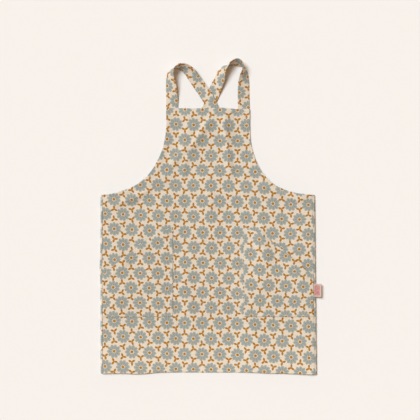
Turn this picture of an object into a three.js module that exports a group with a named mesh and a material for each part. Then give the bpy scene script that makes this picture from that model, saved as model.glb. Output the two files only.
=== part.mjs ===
// A child's cross-back apron, laid flat on its back with its straps looped above the bib.
// Millimetres. +X to the side with the sewn-in tab, +Y from the hem to the straps, +Z up.
// The origin is the middle of the apron's footprint, on the surface that it lies on.

import * as THREE from 'three';

// Cloth
const clothThickness = 1.2; // one layer of canvas with its turned hems
const strapThickness = 1.6; // four layers, folded and stitched
const sewnGap = 0.3; // daylight left between two pieces that are sewn together

// Front: skirt and bib cut in one
const skirtWidth = 452; // folded edge to folded edge, at the armholes
const skirtLength = 377; // hem to the corner below the armhole
const tabSideFlare = 4; // the side with the tab runs out by this much at the hem
const bibWidth = 176;
const bibHeight = 183; // corner below the armhole to the bib's top edge
const armholeRise = 147; // height of the armhole's curved part
const plainArmholePower = 2.0; // an ellipse on the plain side
const tabArmholePower = 2.35; // cut a little deeper on the tab's side
const hemWave = 3.6; // how far the hem's line lifts between its corners

// Back: two narrow panels that wrap round from the sides
const backPanelWidth = 121;
const foldHollow = 4.8; // daylight between the two layers at the side folds
const foldLip = 2.4; // the back cloth comes over the fold by this much, up to the side seam
const foldReach = 62; // how far in from the seam the front stays lifted by the fold
const backHemPeek = 1.8; // how far the back hem shows below the front hem at most

// Straps
const strapWidth = 25;
const strapTuck = 25; // length sewn behind the bib, and onto the back panel
const plainLoopRise = 96; // top of the loop above the bib's top edge, plain side
const tabLoopRise = 102.5; // and on the tab's side
const crossingOffset = 4; // the straps cross this far to the tab's side
const crossingSlack = 1.6; // loose height of the upper strap over the lower one

// Patch pockets, caught in the side seams, with a slanting curved mouth
const pocketWidth = 146;
const pocketInnerHeight = 190;
const pocketOuterHeight = 86;
const pocketAboveHem = 121;
const pocketMouthPower = 1.3; // above 1 the mouth leaves its inner corner nearly level
const pocketHollow = 4.7; // how far the mouth stands open

// Folded woven tab in the side seam
const tabLength = 26; // along the seam
const tabReach = 17; // seam to its folded end
const tabThickness = 1.0;
const tabAboveHem = 177; // hem to the tab's middle
const tabDroop = 3.0; // its free end hangs this far below its root

// Places worked out from those sizes
const bibHalf = bibWidth / 2;
const edgeHalf = skirtWidth / 2;
const bibTop = skirtLength + bibHeight;
const armholeTop = skirtLength + armholeRise;
const foldRadius = clothThickness + foldHollow / 2;
const seamInset = foldRadius + foldLip;
const bodyTop = 2 * foldRadius;

// Heights of the underside of the front cloth, from what lies beneath it
const backTop = clothThickness;
const onFloor = sewnGap;
const overStrap = 2 * sewnGap + strapThickness;
const overBack = backTop + overStrap;
const atSeam = clothThickness + foldHollow;
const upperStrapLift = sewnGap + strapThickness + crossingSlack;
const overCrossing = upperStrapLift + strapThickness + sewnGap;

// Soft folds of the front cloth. Shares: x of half the skirt's width, y of the whole height
// of front; reach x and y likewise; rise in parts of the fold's hollow.
const softFolds = [
  { x: -0.17, y: 0.83, reachX: 0.11, reachY: 0.12, rise: 0.34 },
  { x: 0.2, y: 0.8, reachX: 0.12, reachY: 0.14, rise: 0.3 },
  { x: -0.02, y: 0.62, reachX: 0.14, reachY: 0.2, rise: 0.4 },
  { x: -0.2, y: 0.34, reachX: 0.13, reachY: 0.26, rise: 0.42 },
  { x: 0.06, y: 0.2, reachX: 0.12, reachY: 0.22, rise: 0.36 },
  { x: 0.24, y: 0.46, reachX: 0.1, reachY: 0.2, rise: 0.34 },
  { x: -0.6, y: 0.02, reachX: 0.22, reachY: 0.12, rise: 0.3 },
  { x: 0.62, y: 0.03, reachX: 0.2, reachY: 0.12, rise: 0.34 },
];

// The front hem's line: across in shares of the half width, lift in shares of hemWave.
const hemLine = [
  { across: -1, lift: 0 },
  { across: -0.82, lift: 0.08 },
  { across: -0.62, lift: 0.3 },
  { across: -0.48, lift: 0.85 },
  { across: 0, lift: 1 },
  { across: 0.35, lift: 0.85 },
  { across: 0.6, lift: 0.5 },
  { across: 0.82, lift: 0.1 },
  { across: 1, lift: -0.35 },
];

// The strap's course. across runs from 0 on the strap's line up the bib's side to 1 at the
// crossing; up is in shares of the loop's rise; roll turns the strap's inner edge up, over its
// outer edge at 90 degrees and flat again at 180; lift names what the strap's low side lies on.
const plainStrapCourse = [
  { across: 0, up: 0.03, roll: 0, lift: 'bib' },
  { across: 0, up: 0.17, roll: 7, lift: 'rising' },
  { across: -0.012, up: 0.39, roll: 16, lift: 'floor' },
  { across: -0.03, up: 0.565, roll: 28, lift: 'floor' },
  { across: -0.028, up: 0.706, roll: 47, lift: 'floor' },
  { across: 0.018, up: 0.82, roll: 70, lift: 'floor' },
  { across: 0.13, up: 0.91, roll: 94, lift: 'floor' },
  { across: 0.288, up: 0.909, roll: 124, lift: 'floor' },
  { across: 0.426, up: 0.826, roll: 145, lift: 'floor' },
  { across: 0.535, up: 0.711, roll: 158, lift: 'floor' },
  { across: 0.7, up: 0.515, roll: 166, lift: 'floor' },
  { across: 0.86, up: 0.33, roll: 176, lift: 'over' },
  { across: 0.98, up: 0.167, roll: 180, lift: 'over' },
  { across: 1.063, up: 0.0, roll: 180, lift: 'over' },
  { across: 1.18, up: -0.24, roll: 180, lift: 'over' },
  { across: 1.38, up: -0.62, roll: 180, lift: 'floor' },
];
const tabStrapCourse = [
  { across: 0, up: 0.03, roll: 0, lift: 'bib' },
  { across: 0.012, up: 0.2, roll: 11, lift: 'rising' },
  { across: 0.012, up: 0.4, roll: 25, lift: 'floor' },
  { across: 0.006, up: 0.563, roll: 37, lift: 'floor' },
  { across: 0, up: 0.684, roll: 54, lift: 'floor' },
  { across: 0.006, up: 0.795, roll: 74, lift: 'floor' },
  { across: 0.036, up: 0.878, roll: 94, lift: 'floor' },
  { across: 0.123, up: 0.93, roll: 113, lift: 'floor' },
  { across: 0.249, up: 0.942, roll: 116, lift: 'floor' },
  { across: 0.4, up: 0.905, roll: 94, lift: 'floor' },
  { across: 0.54, up: 0.8, roll: 66, lift: 'floor' },
  { across: 0.645, up: 0.678, roll: 49, lift: 'floor' },
  { across: 0.728, up: 0.553, roll: 36, lift: 'floor' },
  { across: 0.835, up: 0.39, roll: 14, lift: 'floor' },
  { across: 0.937, up: 0.215, roll: 0, lift: 'floor' },
  { across: 1.022, up: 0.04, roll: 0, lift: 'floor' },
  { across: 1.16, up: -0.2, roll: 0, lift: 'floor' },
  { across: 1.4, up: -0.6, roll: 0, lift: 'floor' },
];

// How finely the cloth is divided
const plainColumns = 4; // from the middle to a pocket's inner edge
const pocketColumns = 9; // from there to the side seam
const skirtRows = 13;
const armholeRows = 10;
const bibRows = 3;
const pocketRows = 9;

// Small helpers
const clamp01 = (t) => Math.min(1, Math.max(0, t));
const smooth = (t) => clamp01(t) ** 2 * (3 - 2 * clamp01(t));
const mix = (a, b, t) => a + (b - a) * t;
const steps = (n) => Array.from({ length: n + 1 }, (_, i) => i / n);

// Reads a table's column at a place between its rows, easing from row to row.
function readTable(rows, at, column, value) {
  const last = rows.length - 2;
  const found = rows.findIndex((row, i) => i <= last && value <= rows[i + 1][at]);
  const i = found < 0 ? last : found;
  const share = (value - rows[i][at]) / (rows[i + 1][at] - rows[i][at]);
  return mix(rows[i][column], rows[i + 1][column], smooth(share));
}

// One closed shell between two grids of points with as many rows and columns.
function shell(low, high) {
  const rows = low.length;
  const columns = low[0].length;
  const points = [...low.flat(), ...high.flat()];
  const at = (layer, r, c) => layer * rows * columns + r * columns + c;
  const index = [];
  const quad = (a, b, c, d) => index.push(a, b, c, a, c, d);
  for (let r = 0; r < rows - 1; r++) {
    for (let c = 0; c < columns - 1; c++) {
      quad(at(1, r, c), at(1, r, c + 1), at(1, r + 1, c + 1), at(1, r + 1, c));
      quad(at(0, r, c), at(0, r + 1, c), at(0, r + 1, c + 1), at(0, r, c + 1));
    }
  }
  for (let c = 0; c < columns - 1; c++) {
    quad(at(0, 0, c), at(0, 0, c + 1), at(1, 0, c + 1), at(1, 0, c));
    quad(at(0, rows - 1, c + 1), at(0, rows - 1, c), at(1, rows - 1, c), at(1, rows - 1, c + 1));
  }
  for (let r = 0; r < rows - 1; r++) {
    quad(at(0, r + 1, 0), at(0, r, 0), at(1, r, 0), at(1, r + 1, 0));
    quad(at(0, r, columns - 1), at(0, r + 1, columns - 1), at(1, r + 1, columns - 1), at(1, r, columns - 1));
  }
  let volume = 0;
  for (let i = 0; i < index.length; i += 3) {
    const [a, b, c] = [points[index[i]], points[index[i + 1]], points[index[i + 2]]];
    volume += a.dot(new THREE.Vector3().crossVectors(b, c));
  }
  if (volume < 0) index.reverse();
  const geometry = new THREE.BufferGeometry().setFromPoints(points);
  geometry.setIndex(index);
  geometry.computeVertexNormals();
  return geometry;
}

// A grid of cloth as a shell: the underside as given, the top one thickness above it.
function clothShell(underside, thickness) {
  const top = underside.map((row) => row.map((p) => p.clone().setZ(p.z + thickness)));
  return shell(underside, top);
}

// Outline of the front. side is -1 on the plain side and +1 on the tab's side.
const foldEdge = (side, y) =>
  edgeHalf + (side > 0 ? tabSideFlare * (1 - clamp01(y / skirtLength)) : 0);
const seamLine = (side, y) => foldEdge(side, y) - seamInset;
const skirtHalf = (side, y) => seamLine(side, y) - sewnGap;
function frontHalf(side, y) {
  if (y <= skirtLength) return skirtHalf(side, y);
  const power = side > 0 ? tabArmholePower : plainArmholePower;
  const down = clamp01((armholeTop - y) / armholeRise);
  const curve = (edgeHalf - bibHalf) * (1 - down ** power) ** (1 / power);
  return Math.min(edgeHalf - curve, skirtHalf(side, skirtLength));
}
const hemHeight = (x) => hemWave * readTable(hemLine, 'across', 'lift', x / edgeHalf);

// Underside of the front cloth: it sinks to the surface in the skirt's middle, lies on the
// straps and the back panels, and is held up by the folds along both side seams.
function frontUnder(x, y) {
  const side = x < 0 ? -1 : 1;
  const backInner = edgeHalf - backPanelWidth;
  const overBand = smooth((Math.abs(x) - backInner + 0.4 * backPanelWidth) / (0.3 * backPanelWidth));
  const belowArmhole = smooth((skirtLength + 4 * strapTuck - y) / (2.4 * strapTuck));
  const underBib = smooth((y - skirtLength + 1.6 * strapTuck) / (1.8 * strapTuck));
  const nearTop = smooth((y - bibTop + 4 * strapTuck) / (2.8 * strapTuck));
  let level = mix(onFloor, overStrap, underBib);
  level = mix(level, overBack, overBand * belowArmhole);
  level = mix(level, overCrossing, nearTop);
  const inward = Math.max(0, seamLine(side, Math.min(y, skirtLength)) - Math.abs(x));
  const away = Math.hypot(inward, Math.max(0, y - skirtLength));
  const held = smooth(1 - (away - 0.2 * foldReach) / (0.8 * foldReach));
  const calm = 1 - Math.max(held, nearTop);
  let lift = 0;
  for (const fold of softFolds) {
    const dx = (x / edgeHalf - fold.x) / fold.reachX;
    const dy = (y / bibTop - fold.y) / fold.reachY;
    lift += fold.rise * smooth(1 - Math.hypot(dx, dy));
  }
  return mix(level, atSeam, held) + lift * calm * 0.6 * foldHollow;
}

// Columns of the front, in shares of its half width. The pockets take the same ones, so that
// they lie on it evenly.
const pocketEdge = 1 - pocketWidth / (edgeHalf - seamInset - sewnGap);
const pocketShares = steps(pocketColumns).map((s) => mix(pocketEdge, 1, 1 - (1 - s) ** 1.3));
const frontColumns = [...steps(plainColumns).slice(0, -1).map((s) => s * pocketEdge), ...pocketShares];

function frontGeometry() {
  const levels = [
    ...steps(skirtRows).map((s) => ({ y: skirtLength * s, fromHem: 1 - s })),
    ...steps(armholeRows).slice(1).map((s) => ({
      y: armholeTop - armholeRise * Math.cos((s * Math.PI) / 2),
      fromHem: 0,
    })),
    ...steps(bibRows).slice(1).map((s) => ({ y: mix(armholeTop, bibTop, s), fromHem: 0 })),
  ];
  const columns = [...frontColumns.slice(1).reverse().map((u) => -u), ...frontColumns];
  const underside = levels.map(({ y, fromHem }) =>
    columns.map((u) => {
      const x = u * frontHalf(u < 0 ? -1 : 1, y);
      const height = y + fromHem * hemHeight(x);
      return new THREE.Vector3(x, height, frontUnder(x, height));
    }),
  );
  return clothShell(underside, clothThickness);
}

// A back panel: flat on the surface, round the side fold and up to the side seam.
function backGeometry(side) {
  const flat = steps(5).map((s) => ({ s, turn: 0, lip: 0 }));
  const round = steps(7).slice(1).map((s) => ({ s: 1, turn: s * Math.PI, lip: 0 }));
  const profile = [...flat, ...round, { s: 1, turn: Math.PI, lip: 1 }];
  const section = (y, radius) => {
    const edge = foldEdge(side, y);
    const inner = edge - backPanelWidth;
    const centre = edge - foldRadius;
    return profile.map(({ s, turn, lip }) => {
      const x = mix(inner, centre, s) + radius * Math.sin(turn) - foldLip * lip;
      const peek = backHemPeek * Math.sin(Math.PI * clamp01((edge - x) / backPanelWidth)) ** 2;
      const hem = hemHeight(side * x) + 0.3 * backHemPeek - peek;
      const fromHem = 1 - y / skirtLength;
      return new THREE.Vector3(side * x, y + fromHem * hem, foldRadius - radius * Math.cos(turn));
    });
  };
  const heights = steps(9).map((s) => s * skirtLength);
  const outside = heights.map((y) => section(y, foldRadius));
  const inside = heights.map((y) => section(y, foldRadius - clothThickness));
  return shell(inside, outside);
}

// A strap, from behind the bib's corner, round its loop, over the crossing and down to the
// top of the back panel on the other side.
function strapGeometry(side, course, loopRise) {
  const start = side * (bibHalf - strapWidth / 2);
  const endX = -side * (edgeHalf - backPanelWidth + 0.6 * strapWidth);
  const lifts = {
    floor: sewnGap,
    back: backTop + sewnGap,
    over: upperStrapLift,
    bib: overCrossing - sewnGap - strapThickness,
    rising: (overCrossing - strapThickness) / 2,
  };
  const looped = course.map((row) => ({
    x: mix(start, crossingOffset, row.across),
    y: bibTop + row.up * loopRise,
    roll: THREE.MathUtils.degToRad(row.roll),
    lift: lifts[row.lift],
  }));
  const flatRoll = looped[looped.length - 1].roll;
  const stops = [
    { x: start, y: bibTop - strapTuck, roll: 0, lift: lifts.bib },
    { x: start, y: bibTop - 0.4 * strapTuck, roll: 0, lift: lifts.bib },
    ...looped,
    { x: endX * 0.9, y: skirtLength + strapTuck, roll: flatRoll, lift: lifts.floor },
    { x: endX * 0.97, y: skirtLength + 0.3 * strapTuck, roll: flatRoll, lift: lifts.back },
    { x: endX, y: skirtLength - strapTuck, roll: flatRoll, lift: lifts.back },
  ];
  const plan = new THREE.CatmullRomCurve3(stops.map((s) => new THREE.Vector3(s.x, s.y, 0)));
  const perStop = 3;
  const stations = steps((stops.length - 1) * perStop).map((t, i) => {
    const first = Math.min(stops.length - 2, Math.floor(i / perStop));
    const share = i / perStop - first;
    const roll = mix(stops[first].roll, stops[first + 1].roll, share);
    const lift = mix(stops[first].lift, stops[first + 1].lift, smooth(share));
    const halves = strapWidth * Math.abs(Math.sin(roll)) + strapThickness * Math.abs(Math.cos(roll));
    const centre = plan.getPoint(t).setZ(lift + halves / 2);
    return { centre, roll };
  });
  const faces = [-1, 1].map((face) =>
    stations.map(({ centre, roll }, i) => {
      const before = stations[Math.max(0, i - 1)].centre;
      const after = stations[Math.min(stations.length - 1, i + 1)].centre;
      const along = new THREE.Vector3().subVectors(after, before).normalize();
      const across = new THREE.Vector3(along.y, -along.x, 0).normalize().multiplyScalar(-side);
      const up = new THREE.Vector3().crossVectors(across, along).multiplyScalar(-side).normalize();
      const width = across.clone().multiplyScalar(Math.cos(roll)).addScaledVector(up, Math.sin(roll));
      const normal = across.clone().multiplyScalar(-Math.sin(roll)).addScaledVector(up, Math.cos(roll));
      return [-1, 0, 1].map((c) =>
        centre.clone()
          .addScaledVector(width, (c * strapWidth) / 2)
          .addScaledVector(normal, (face * strapThickness) / 2),
      );
    }),
  );
  return shell(faces[0], faces[1]);
}

// A pocket's underside lies a sewn gap above the front, and its mouth stands open.
function pocketGeometry(side) {
  const underside = steps(pocketRows).map((v) =>
    pocketShares.map((share) => {
      const u = (share - pocketEdge) / (1 - pocketEdge);
      const mouth = mix(pocketInnerHeight, pocketOuterHeight, u ** pocketMouthPower);
      const y = pocketAboveHem + v * mouth;
      const x = share * skirtHalf(side, y);
      const open = smooth(Math.min(u, 1 - u) / 0.28) * smooth(v / 0.4);
      const z = frontUnder(side * x, y) + clothThickness + sewnGap + pocketHollow * open;
      return new THREE.Vector3(side * x, y, z);
    }),
  );
  return clothShell(underside, clothThickness);
}

// The tab leaves the side seam, lies over the fold and droops past the edge.
function tabGeometry() {
  const underside = steps(2).map((v) =>
    steps(6).map((u) => {
      const y = tabAboveHem + (v - 0.5) * tabLength;
      const x = seamLine(1, y) + u * tabReach;
      const droop = tabDroop * smooth((u * tabReach - foldLip) / (tabReach - foldLip));
      return new THREE.Vector3(x, y, bodyTop + sewnGap - droop);
    }),
  );
  return clothShell(underside, tabThickness);
}

// Materials
const printedCloth = new THREE.MeshStandardMaterial({ color: 0xddcdba, roughness: 0.92, metalness: 0 });
const tabWeave = new THREE.MeshStandardMaterial({ color: 0xd9a3a0, roughness: 0.8, metalness: 0 });

function piece(name, geometry, material) {
  const mesh = new THREE.Mesh(geometry, material);
  mesh.name = name;
  return mesh;
}

const apron = new THREE.Group();
apron.add(
  piece('front_panel', frontGeometry(), printedCloth),
  piece('back_panel_left', backGeometry(-1), printedCloth),
  piece('back_panel_right', backGeometry(1), printedCloth),
  piece('strap_left', strapGeometry(-1, plainStrapCourse, plainLoopRise), printedCloth),
  piece('strap_right', strapGeometry(1, tabStrapCourse, tabLoopRise), printedCloth),
  piece('pocket_left', pocketGeometry(-1), printedCloth),
  piece('pocket_right', pocketGeometry(1), printedCloth),
  piece('side_tab', tabGeometry(), tabWeave),
);

// The middle of the footprint goes to the origin.
const footprint = new THREE.Box3().setFromObject(apron).getCenter(new THREE.Vector3());
apron.position.set(-footprint.x, -footprint.y, 0);

export default apron;
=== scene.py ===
# %% [markdown]
# # A child's cross-back apron, laid flat
# The apron lies on its back on a pale table: a front with its bib, two back panels folded in
# from the sides, two straps looped above the bib, two slant pockets and a small woven tab.
# Its solids are already built to size, so every piece of cloth here takes its place from them.

# %% Load the frame and keep its box
import math

import bpy
import numpy as np
from mathutils import Matrix, Vector, noise
from mathutils.bvhtree import BVHTree
from mathutils.kdtree import KDTree


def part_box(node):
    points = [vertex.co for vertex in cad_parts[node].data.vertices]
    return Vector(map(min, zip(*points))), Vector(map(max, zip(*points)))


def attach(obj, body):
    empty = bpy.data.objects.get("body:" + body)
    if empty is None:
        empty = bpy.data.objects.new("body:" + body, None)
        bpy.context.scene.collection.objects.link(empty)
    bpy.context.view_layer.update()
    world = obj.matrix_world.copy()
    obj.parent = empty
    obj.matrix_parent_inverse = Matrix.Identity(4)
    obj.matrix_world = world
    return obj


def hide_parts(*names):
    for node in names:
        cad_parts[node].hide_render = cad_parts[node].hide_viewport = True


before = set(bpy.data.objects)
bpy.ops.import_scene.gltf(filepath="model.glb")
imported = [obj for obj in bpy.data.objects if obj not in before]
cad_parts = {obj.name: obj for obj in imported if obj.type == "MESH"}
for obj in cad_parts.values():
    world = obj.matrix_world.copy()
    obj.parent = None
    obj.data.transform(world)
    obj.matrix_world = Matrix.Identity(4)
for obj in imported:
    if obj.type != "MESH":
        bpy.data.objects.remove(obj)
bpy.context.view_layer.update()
MM = 0.001
UP = Vector((0, 0, 1))

# %% [markdown]
# ## The camera
# The picture was taken from straight above with a long lens, so that nothing leans. A pixel is
# 2.1 mm of table, and the lens is worked out from that and from the camera's height.

# %% Camera
IMAGE_SIDE = 420
PIXEL = 2.1 * MM
CAMERA_HEIGHT = 2.6
VIEW_CENTRE = (-2.5 * MM, 14.5 * MM)
CLOTH_LEVEL = 4 * MM

camera_data = bpy.data.cameras.new("camera")
camera = bpy.data.objects.new("camera", camera_data)
bpy.context.scene.collection.objects.link(camera)
camera.location = (*VIEW_CENTRE, CAMERA_HEIGHT)
seen = IMAGE_SIDE * PIXEL
camera_data.lens = camera_data.sensor_width * (CAMERA_HEIGHT - CLOTH_LEVEL) / seen
camera_data.clip_end = 400
bpy.context.scene.camera = camera
print("lens, mm:", round(camera_data.lens, 1))

# %% [markdown]
# ## Reading the solids
# Rays cast at a solid give its height at a place, and halving the way between a place on it
# and one beyond it gives its edge. All of the cloth below is laid out with these two.

# %% Rays and edges
RAY_START = 100 * MM
FAR_ASIDE = 300 * MM
BEYOND = 20 * MM
HEM_CLEAR = 14 * MM


def tree_of(thing):
    """A ray tree of an object's mesh, which stands where it is drawn."""
    thing.data.calc_loop_triangles()
    corners = [v.co.copy() for v in thing.data.vertices]
    return BVHTree.FromPolygons(corners, [t.vertices[:] for t in thing.data.loop_triangles])


def height(tree, x, y, above=True):
    """Where a vertical ray meets the mesh, or None beside it."""
    side = 1 if above else -1
    hit = tree.ray_cast(Vector((x, y, side * RAY_START)), -side * UP)[0]
    return None if hit is None else hit.z


def find_edge(tree, inside, outside):
    """The last place in plan on the way from inside to outside that is still over the mesh."""
    inside, outside = Vector((*inside, 0)), Vector((*outside, 0))
    for _ in range(16):
        middle = (inside + outside) / 2
        if height(tree, middle.x, middle.y) is None:
            outside = middle
        else:
            inside = middle
    return inside


def heights(tree, x, y, above=True):
    """Heights at arrays of places. A place beside the mesh takes that of the nearest point."""
    found = np.empty(x.shape)
    for place in np.ndindex(x.shape):
        z = height(tree, x[place], y[place], above)
        if z is None:
            z = tree.find_nearest(Vector((x[place], y[place], 0)))[0].z
        found[place] = z
    return found


cad = {name: tree_of(node) for name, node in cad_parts.items()}
print("solids:", sorted(cad))

# %% [markdown]
# ## Working with cloth as a grid
# Cloth is a grid primitive whose points are moved to where the cloth lies. Its UV map keeps the
# flat cut in metres, so a print follows the cloth round every bend. Solidify then gives it a
# wall, with a weight for each point, because hems are thicker than the plain cloth.

# %% Cloth tools
RIGHT_SIDE, WRONG_SIDE = 0, 1
FULL_THICKNESS = 1.2 * MM
PLAIN_THICKNESS = 0.62 * MM
HEM_THICKNESS = 1.1 * MM
EDGE_RADIUS = 1.0 * MM
THINNEST = 0.08 * MM


def smoothstep(t):
    t = np.clip(t, 0, 1)
    return t * t * (3 - 2 * t)


def bell(distance, width):
    """1 at no distance, fading to 0 within about two widths."""
    return np.exp(-((distance / width) ** 2))


def near_edge(distance, width):
    """1 at an edge, falling to 0 at a width from it."""
    return np.clip(1 - distance / width, 0, 1) ** 2


def least(*grids):
    return np.minimum.reduce(np.broadcast_arrays(*grids))


def most(*grids):
    return np.maximum.reduce(np.broadcast_arrays(*grids))


def running_length(points):
    """How far along a line each of its points lies."""
    return np.concatenate([[0], np.cumsum(np.linalg.norm(np.diff(points, axis=0), axis=1))])


def resampled(places, along, points):
    """Points at other places along a line."""
    return np.stack([np.interp(places, along, column) for column in np.transpose(points)], 1)


def unit_rows(vectors):
    return vectors / np.linalg.norm(vectors, axis=1, keepdims=True)


def spread(start, stop, step):
    """Even places from start to stop, about a step apart."""
    return np.linspace(start, stop, max(2, int(round(abs(stop - start) / step)) + 1))


def edge_places(length, step, near=(0.4 * MM, 1.2 * MM)):
    """Places along a length that crowd at both ends, where the cloth's edge is rounded."""
    near = np.array(near)
    middle = spread(near[-1] + step, length - near[-1] - step, step)
    return np.concatenate([[0], near, middle, length - near[::-1], [length]])


def relaxed(values, rounds):
    """Evens out a grid of heights, and with it the flat facets of the solid."""
    for _ in range(rounds):
        wide = np.pad(values, 1, mode="edge")
        around = wide[:-2, 1:-1] + wide[2:, 1:-1] + wide[1:-1, :-2] + wide[1:-1, 2:]
        values = 0.5 * values + 0.125 * around
    return values


def relaxed_line(values, rounds):
    """Evens out a row of numbers and keeps its ends."""
    values = np.array(values, float)
    for _ in range(rounds):
        values[1:-1] = 0.5 * values[1:-1] + 0.25 * (values[:-2] + values[2:])
    return values


def deselect_all():
    if bpy.context.object and bpy.context.object.mode != "OBJECT":
        bpy.ops.object.mode_set(mode="OBJECT")
    bpy.ops.object.select_all(action="DESELECT")


def apply_modifiers(piece):
    deselect_all()
    piece.select_set(True)
    bpy.context.view_layer.objects.active = piece
    for modifier in list(piece.modifiers):
        bpy.ops.object.modifier_apply(modifier=modifier.name)


def lay_cloth(name, node, points, flat, thickness, offset=-1):
    """Cloth in place of a node: a grid at the given points, its flat cut as UV map, and a wall."""
    rows, columns = points.shape[:2]
    deselect_all()
    bpy.ops.mesh.primitive_grid_add(x_subdivisions=columns - 1, y_subdivisions=rows - 1, size=1)
    piece = bpy.context.object
    piece.name = piece.data.name = name
    mesh = piece.data
    mesh.vertices.foreach_set("co", points.astype(np.float32).ravel())
    corner_of = np.empty(len(mesh.loops), np.int32)
    mesh.loops.foreach_get("vertex_index", corner_of)
    layer = mesh.uv_layers.active or mesh.uv_layers.new()
    layer.name = "cut"
    layer.data.foreach_set("uv", flat.reshape(-1, 2)[corner_of].astype(np.float32).ravel())
    for _ in (RIGHT_SIDE, WRONG_SIDE):
        mesh.materials.append(None)
    group = piece.vertex_groups.new(name="thickness")
    for index, share in enumerate(np.clip(thickness / FULL_THICKNESS, 0.02, 2).ravel() / 2):
        group.add([index], float(share), "REPLACE")
    wall = piece.modifiers.new("wall", "SOLIDIFY")
    wall.thickness = 2 * FULL_THICKNESS
    wall.offset = offset
    wall.vertex_group = "thickness"
    wall.thickness_vertex_group = 0
    wall.material_offset = WRONG_SIDE
    apply_modifiers(piece)
    piece.vertex_groups.clear()
    bpy.ops.object.shade_smooth()
    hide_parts(node)
    piece.data.calc_loop_triangles()
    size = [round(v / MM, 1) for v in piece.dimensions]
    print(f"{name}: {size} mm, {len(piece.data.loop_triangles)} triangles")
    return piece


print("cloth tools ready")

# %% [markdown]
# ## Edges that are hemmed
# A hem is cloth folded under and stitched down. From the right side it shows as a slightly
# raised band, a fine ditch along the stitches and small puckers that the thread draws in.

# %% Hems
PUCKER_WAVE = 7.5 * MM
PUCKER_WIDTH = 5 * MM
DITCH_WIDTH = 0.9 * MM


class Edge:
    """A line of points in plan. It tells any place how near it is and how far along it lies."""

    def __init__(self, x, y):
        points = np.stack([x, y], 1)
        along = running_length(points)
        self.length = along[-1]
        self.along = spread(0, self.length, 1.0 * MM)
        self.points = resampled(self.along, along, points)
        self.finder = KDTree(len(self.points))
        for index, place in enumerate(self.points):
            self.finder.insert((*place, 0), index)
        self.finder.balance()

    def near(self, x, y):
        """Distance and place along the line, for arrays of places."""
        distance, along = np.empty(x.shape), np.empty(x.shape)
        for place in np.ndindex(x.shape):
            _, index, far = self.finder.find((x[place], y[place], 0))
            distance[place], along[place] = far, self.along[index]
        return distance, along

    def inset(self, distance, centre):
        """The same line moved sideways by a distance, towards a centre in plan."""
        direction = unit_rows(np.gradient(self.points, axis=0))
        sideways = np.stack([-direction[:, 1], direction[:, 0]], 1)
        towards = np.array(centre) - self.points
        sideways *= np.sign((sideways * towards).sum(1, keepdims=True))
        return self.points + distance * sideways


def wavering(along, seed):
    """An uneven up and down along a seam, from -1 to 1."""
    drift = np.array([noise.noise(Vector((s / (31 * MM), seed, 0.5))) for s in along.ravel()])
    return np.sin(2 * math.pi * (along / PUCKER_WAVE + 1.6 * drift.reshape(along.shape)))


def hem_relief(distance, along, stitched, seed, rise=0.32 * MM, ditch=0.26 * MM, pucker=0.16 * MM):
    """Height of the cloth over a hem: band, ditch at the stitches, puckers."""
    band = rise * (1 - smoothstep((distance - stitched - 0.4 * MM) / (2.2 * MM)))
    groove = ditch * bell(distance - stitched, DITCH_WIDTH)
    return band - groove + pucker * wavering(along, seed) * bell(distance - stitched, PUCKER_WIDTH)


def hem_wall(distance, stitched):
    """Thickness of the wall: doubled as far as the stitches, plain beyond them."""
    folded = 1 - smoothstep((distance - stitched - 1.5 * MM) / (1.0 * MM))
    return PLAIN_THICKNESS + (HEM_THICKNESS - PLAIN_THICKNESS) * folded


def edge_drop(distance, thickness):
    """How far the surface falls where the cloth turns under at its edge."""
    return 0.45 * thickness * near_edge(distance, EDGE_RADIUS)


def noise_field(x, y, across, along, seed):
    """Soft uneven ground from -1 to 1, with bumps of the given size in metres."""
    places = zip(x.ravel(), y.ravel())
    values = [noise.noise(Vector((a / across, b / along, seed))) for a, b in places]
    return np.array(values).reshape(x.shape)


print("hem tools ready")

# %% [markdown]
# ## The front
# Skirt and bib are one piece of cloth. Its sides end at the side seams, its hem and its top are
# turned up and stitched, and a narrow facing finishes the curved armholes. The grid's rows run
# across the apron and its columns fan in from the skirt to the bib.

# %% Front: outline from the solid
CELL = 3.2 * MM
HEM_STITCH = 15 * MM
TOP_STITCH = 18 * MM
ARMHOLE_STITCH = 8 * MM

front_low, front_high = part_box("front_panel")
armhole_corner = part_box("back_panel_left")[1].y
bib_top = front_high.y
front_tree = cad["front_panel"]
middle = (0, 0.5 * (front_low.y + armhole_corner))
hem_middle = find_edge(front_tree, middle, (0, front_low.y - BEYOND)).y


def front_edge(side, y):
    """The side edge of the front at a height above the hem."""
    y = min(max(y, hem_middle + HEM_CLEAR), bib_top - 0.3 * MM)
    return find_edge(front_tree, (0, y), (side * FAR_ASIDE, y)).x


hem_rows = edge_places(armhole_corner - hem_middle, CELL)[:-2] + hem_middle
corner_turn = np.linspace(0, math.pi / 2, 62)[1:]
armhole_depth = 0.8 * (bib_top - armhole_corner)
armhole_rows = armhole_corner + armhole_depth * (1 - np.cos(corner_turn))
bib_rows = bib_top - edge_places(bib_top - armhole_rows[-1], CELL)[::-1][1:]
row_heights = np.concatenate([hem_rows, armhole_rows, bib_rows])
left_edge = np.array([front_edge(-1, y) for y in row_heights])
right_edge = np.array([front_edge(1, y) for y in row_heights])
curved = row_heights > armhole_corner + 0.5 * MM
left_edge[curved] = relaxed_line(left_edge[curved], 30)
right_edge[curved] = relaxed_line(right_edge[curved], 30)

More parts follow.
